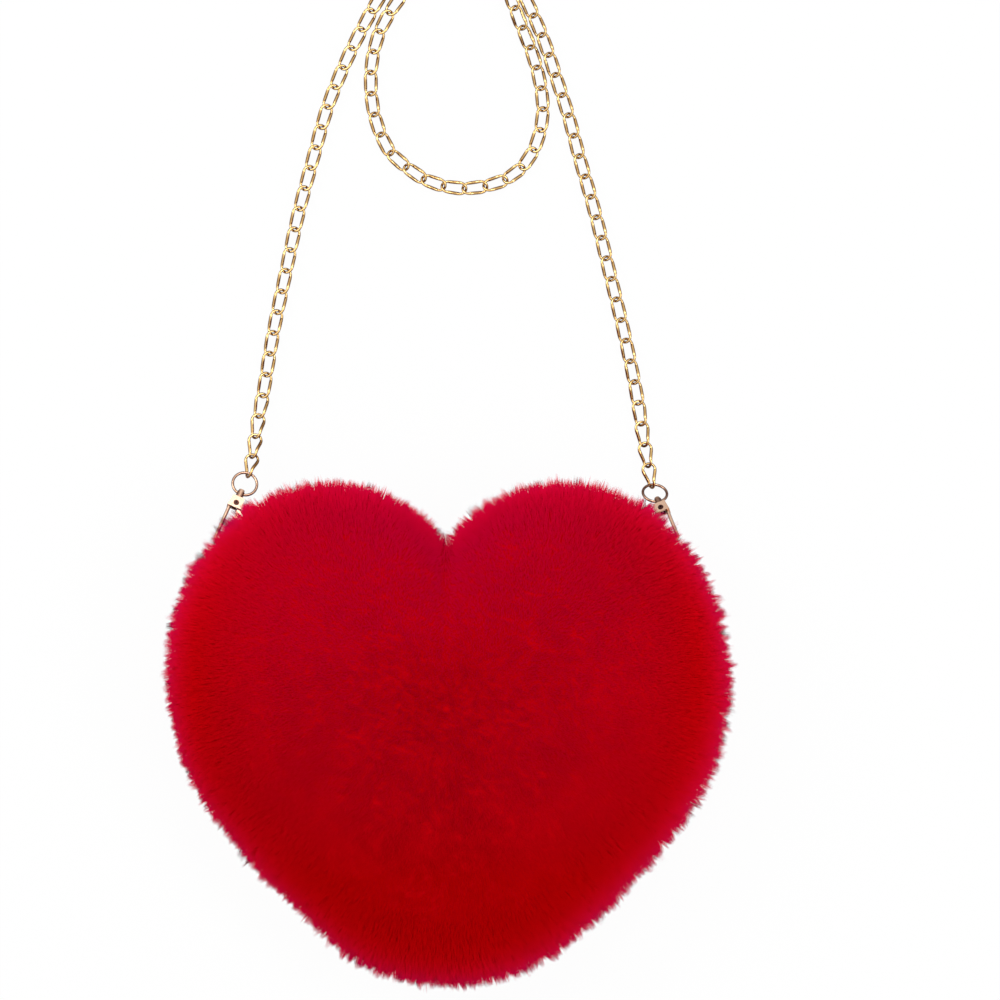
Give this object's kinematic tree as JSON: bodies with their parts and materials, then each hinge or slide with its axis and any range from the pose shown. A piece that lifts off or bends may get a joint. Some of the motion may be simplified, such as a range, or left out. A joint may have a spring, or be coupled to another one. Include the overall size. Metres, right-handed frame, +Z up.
{
  "type": "heart shaped purse",
  "caption": "Padded heart shaped purse of short pile fur fabric, with a zip across the top and a clip-on chain strap coiled above it.",
  "frame": {"origin": "middle of the flat patch on which the back rests, below the cushion", "axes": "+Z up out of the front face of the lying purse, +Y from the tip of the heart to its lobes and on to the strap, +X to the right of the front"},
  "size_m": [0.2788, 0.5249, 0.07],
  "materials": {
    "fur": "short dense pile, matt with a soft sheen",
    "foam": "soft wadding",
    "lining": "fine satin",
    "zip_tape": "woven tape",
    "zip_metal": "polished",
    "tab_fabric": "folded woven strip",
    "gold_wire": "polished",
    "rose_metal": "polished",
    "spring_steel": "bright drawn wire",
    "chain_gold": "polished light gold"
  },
  "bodies": {
    "purse": {"front_fur_panel": "fur", "back_fur_panel": "fur", "front_padding": "foam", "back_padding": "foam", "front_lining": "lining", "back_lining": "lining", "zip_tape_front": "zip_tape", "zip_tape_back": "zip_tape", "zip_teeth_front": "zip_metal", "zip_teeth_back": "zip_metal", "zip_top_stops": "zip_metal", "zip_bottom_stop": "zip_metal", "strap_tab_left": "tab_fabric", "strap_tab_right": "tab_fabric"},
    "slider": {"zip_slider": "zip_metal"},
    "pull": {"zip_pull": "zip_metal"},
    "strap": {"strap_loop_left": "gold_wire", "strap_loop_right": "gold_wire", "hook_body_left": "rose_metal", "hook_body_right": "rose_metal", "gate_spring_left": "spring_steel", "gate_spring_right": "spring_steel", "rivet_left": "rose_metal", "rivet_right": "rose_metal", "swivel_post_left": "rose_metal", "swivel_post_right": "rose_metal", "chain_lower_left": "chain_gold", "chain_lower_right": "chain_gold"},
    "ring_left": {"swivel_ring_left": "rose_metal"},
    "ring_right": {"swivel_ring_right": "rose_metal"},
    "gate_left": {"gate_left": "rose_metal"},
    "gate_right": {"gate_right": "rose_metal"},
    "strap_middle": {"chain_middle_left": "chain_gold", "chain_middle_right": "chain_gold"},
    "strap_upper": {"chain_upper": "chain_gold"}
  },
  "joints": [
    {"name": "strap_swing", "type": "hinge", "parent": "purse", "child": "strap", "pos_m": [0, 0.09899, 0.033], "axis": [1, 0, 0], "range_deg": [0, 100]},
    {"name": "strap_fold_low", "type": "hinge", "parent": "strap", "child": "strap_middle", "pos_m": [0.00152, 0.17826, 0.00232], "axis": [0.9998, -0.02, 0.0007], "range_deg": [0, 35]},
    {"name": "strap_fold_high", "type": "hinge", "parent": "strap_middle", "child": "strap_upper", "pos_m": [0.00065, 0.23036, 0.0024], "axis": [0.9997, -0.0248, 0], "range_deg": [0, 35]},
    {"name": "ring_swivel_left", "type": "hinge", "parent": "strap", "child": "ring_left", "pos_m": [-0.10129, 0.12506, 0.01594], "axis": [0.3552, 0.8409, -0.4083], "range_deg": [-20, 30]},
    {"name": "ring_swivel_right", "type": "hinge", "parent": "strap", "child": "ring_right", "pos_m": [0.10432, 0.12045, 0.0077], "axis": [-0.2574, 0.6921, -0.6743], "range_deg": [-8, 10]},
    {"name": "gate_left_pivot", "type": "hinge", "parent": "strap", "child": "gate_left", "pos_m": [-0.10552, 0.11505, 0.0208], "axis": [-0.1589, -0.3761, -0.9128], "range_deg": [0, 10], "stiffness_Nm_per_rad": 0.02, "springref_deg": -20.05, "deforming": ["gate_spring_left"]},
    {"name": "gate_right_pivot", "type": "hinge", "parent": "strap", "child": "gate_right", "pos_m": [0.10738, 0.11221, 0.01572], "axis": [-0.235, 0.632, 0.7385], "range_deg": [0, 10], "stiffness_Nm_per_rad": 0.02, "springref_deg": -20.05, "deforming": ["gate_spring_right"]},
    {"name": "zip_slide", "type": "hinge", "parent": "purse", "child": "slider", "pos_m": [0.0584, 0.0554, 0.033], "axis": [0, 0, 1], "range_deg": [0, 50], "deforming": ["zip_teeth_front", "zip_teeth_back", "zip_tape_front", "zip_tape_back"]},
    {"name": "zip_pull_swing", "type": "hinge", "parent": "slider", "child": "pull", "pos_m": [0.08242, 0.11174, 0.033], "axis": [0, 0, -1], "range_deg": [0, 120]}
  ]
}
